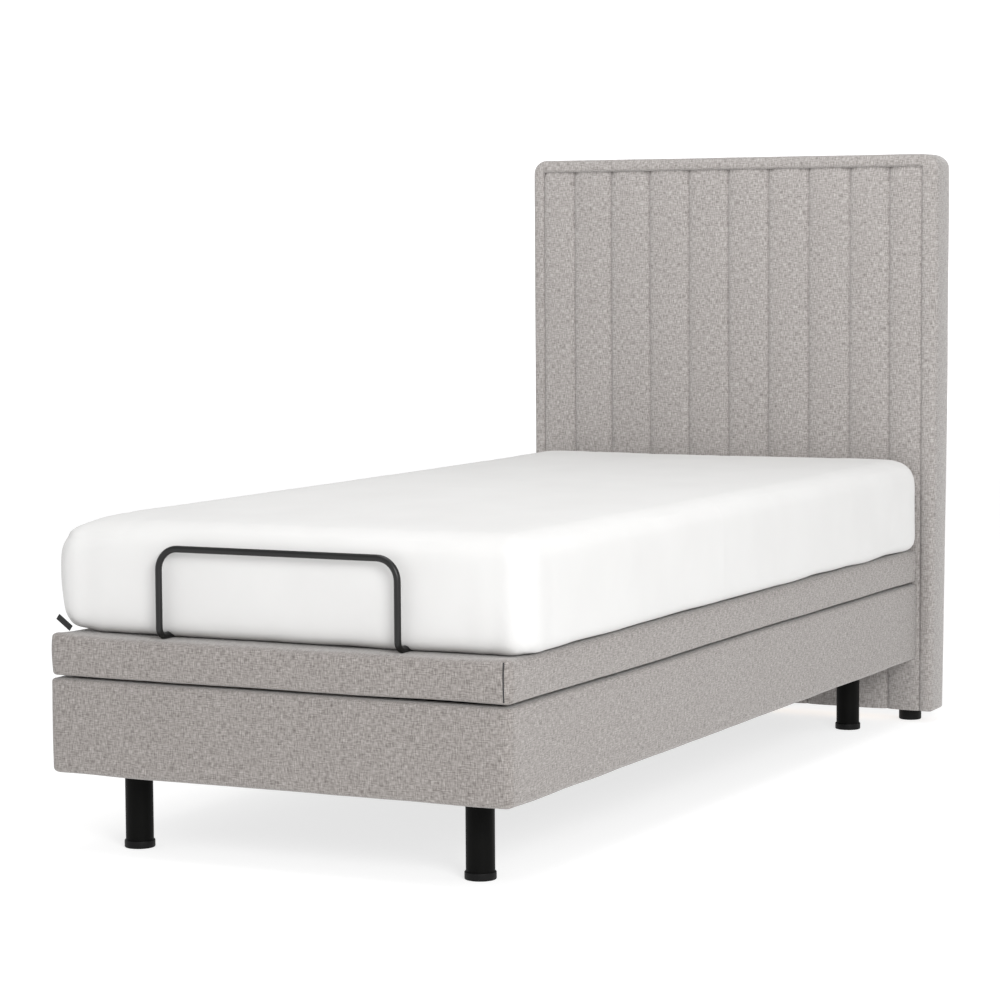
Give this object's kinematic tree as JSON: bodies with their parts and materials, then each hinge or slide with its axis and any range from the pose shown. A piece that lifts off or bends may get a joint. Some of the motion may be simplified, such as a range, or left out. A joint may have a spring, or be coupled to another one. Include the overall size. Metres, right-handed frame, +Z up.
{
  "type": "adjustable bed",
  "caption": "Single electric adjustable bed: upholstered box on round legs, hinged padded deck, mattress, foot retaining bar and channelled headboard.",
  "frame": {"origin": "on the floor, in the middle of the bed's width, midway between the foot face and the back of the headboard", "axes": "+X to the right seen from the foot, +Y towards the head, +Z up"},
  "size_m": [0.972, 2.135, 1.26],
  "materials": {
    "grey_cloth": "woven melange upholstery cloth, matt",
    "white_sheet": "smooth stretch fitted sheet",
    "back_cloth": "plain lining cloth",
    "dust_cloth": "black non-woven dust cloth",
    "plywood": "sanded birch plywood",
    "frame_steel": "powder coated, satin",
    "zinc_steel": "bright zinc plate",
    "black_legs": "black powder coat, satin",
    "black_bar": "black powder coat, satin",
    "black_plastic": "moulded, fine grain",
    "drive_plastic": "moulded, fine grain",
    "pale_nylon": "moulded nylon"
  },
  "bodies": {
    "base": {"side_boards": "plywood", "end_boards": "plywood", "leg_rails": "plywood", "side_ledges": "plywood", "dust_cover": "dust_cloth", "box_cover_left": "grey_cloth", "box_cover_right": "grey_cloth", "box_cover_foot": "grey_cloth", "box_cover_head": "grey_cloth", "leg_foot_left": "black_legs", "leg_foot_right": "black_legs", "leg_head_left": "black_legs", "leg_head_right": "black_legs", "leg_caps": "black_plastic", "headboard_core": "plywood", "headboard_face_pad": "grey_cloth", "headboard_border_left": "grey_cloth", "headboard_border_right": "grey_cloth", "headboard_border_top": "grey_cloth", "headboard_back_cover": "back_cloth", "headboard_glides": "black_plastic", "headboard_bolts": "zinc_steel", "seat_board": "plywood", "seat_rails": "frame_steel", "seat_pad": "grey_cloth", "seat_mattress": "white_sheet", "hinge_pins": "zinc_steel", "tube_brackets": "frame_steel", "tube_bushes": "pale_nylon", "drive_shell_lower": "drive_plastic", "drive_shell_upper": "drive_plastic", "gearmotors": "black_plastic", "drive_sockets": "black_plastic"},
    "back": {"back_board": "plywood", "back_rails": "frame_steel", "back_crossbars": "frame_steel", "back_pad": "grey_cloth", "back_mattress": "white_sheet"},
    "thigh": {"thigh_board": "plywood", "thigh_rails": "frame_steel", "thigh_crossbars": "frame_steel", "thigh_pad": "grey_cloth", "thigh_mattress": "white_sheet", "knee_pins": "zinc_steel"},
    "calf": {"calf_board": "plywood", "calf_rails": "frame_steel", "calf_pad": "grey_cloth", "calf_mattress": "white_sheet", "retaining_bar": "black_bar", "bar_sockets": "zinc_steel"},
    "back_lift": {"back_lift": "frame_steel"},
    "leg_lift": {"leg_lift": "frame_steel"},
    "back_links": {"back_links": "zinc_steel"},
    "leg_links": {"leg_links": "zinc_steel"},
    "back_carriage": {"back_carriage": "pale_nylon"},
    "leg_carriage": {"leg_carriage": "pale_nylon"},
    "back_spindle": {"back_spindle": "zinc_steel"},
    "leg_spindle": {"leg_spindle": "zinc_steel"}
  },
  "joints": [
    {"name": "back_hinge", "type": "hinge", "parent": "base", "child": "back", "pos_m": [0, 0.2125, 0.318], "axis": [1, 0, 0], "range_deg": [0, 60], "deforming": ["back_pad", "seat_pad", "back_mattress", "seat_mattress"]},
    {"name": "thigh_hinge", "type": "hinge", "parent": "base", "child": "thigh", "pos_m": [0, -0.0175, 0.318], "axis": [-1, 0, 0], "range_deg": [0, 32], "deforming": ["thigh_pad", "thigh_mattress"]},
    {"name": "knee_hinge", "type": "hinge", "parent": "thigh", "child": "calf", "pos_m": [0, -0.3375, 0.318], "axis": [-1, 0, 0], "range_deg": [-46, 0], "deforming": ["calf_pad", "calf_mattress"]},
    {"name": "back_lift_turn", "type": "hinge", "parent": "base", "child": "back_lift", "pos_m": [0, 0.3125, 0.248], "axis": [1, 0, 0], "range_deg": [0, 60]},
    {"name": "leg_lift_turn", "type": "hinge", "parent": "base", "child": "leg_lift", "pos_m": [0, -0.1175, 0.248], "axis": [-1, 0, 0], "range_deg": [0, 32]},
    {"name": "back_link_pivot", "type": "hinge", "parent": "back", "child": "back_links", "pos_m": [0, 0.5125, 0.288], "axis": [1, 0, 0], "range_deg": [-60, 0]},
    {"name": "leg_link_pivot", "type": "hinge", "parent": "thigh", "child": "leg_links", "pos_m": [0, -0.1875, 0.288], "axis": [-1, 0, 0], "range_deg": [-32, 0]},
    {"name": "back_carriage_slide", "type": "slide", "parent": "base", "child": "back_carriage", "axis": [0, 1, 0], "range_m": [0, 0.05505]},
    {"name": "leg_carriage_slide", "type": "slide", "parent": "base", "child": "leg_carriage", "axis": [0, -1, 0], "range_m": [0, 0.03037]},
    {"name": "back_spindle_turn", "type": "hinge", "parent": "base", "child": "back_spindle", "pos_m": [0, 0.0975, 0.205], "axis": [0, 1, 0], "range_deg": [0, 1651]},
    {"name": "leg_spindle_turn", "type": "hinge", "parent": "base", "child": "leg_spindle", "pos_m": [0, 0.0975, 0.205], "axis": [0, -1, 0], "range_deg": [0, 911]}
  ],
  "couplings": [
    {"joint": "knee_hinge", "follows": "thigh_hinge", "ratio": -1.4264},
    {"joint": "back_lift_turn", "follows": "back_hinge", "ratio": 1},
    {"joint": "leg_lift_turn", "follows": "thigh_hinge", "ratio": 1},
    {"joint": "back_link_pivot", "follows": "back_hinge", "ratio": -1},
    {"joint": "leg_link_pivot", "follows": "thigh_hinge", "ratio": -1},
    {"joint": "back_carriage_slide", "follows": "back_hinge", "m_per_rad": 0.052521},
    {"joint": "leg_carriage_slide", "follows": "thigh_hinge", "m_per_rad": 0.054288},
    {"joint": "back_spindle_turn", "follows": "back_hinge", "ratio": 27.5},
    {"joint": "leg_spindle_turn", "follows": "thigh_hinge", "ratio": 28.425}
  ]
}
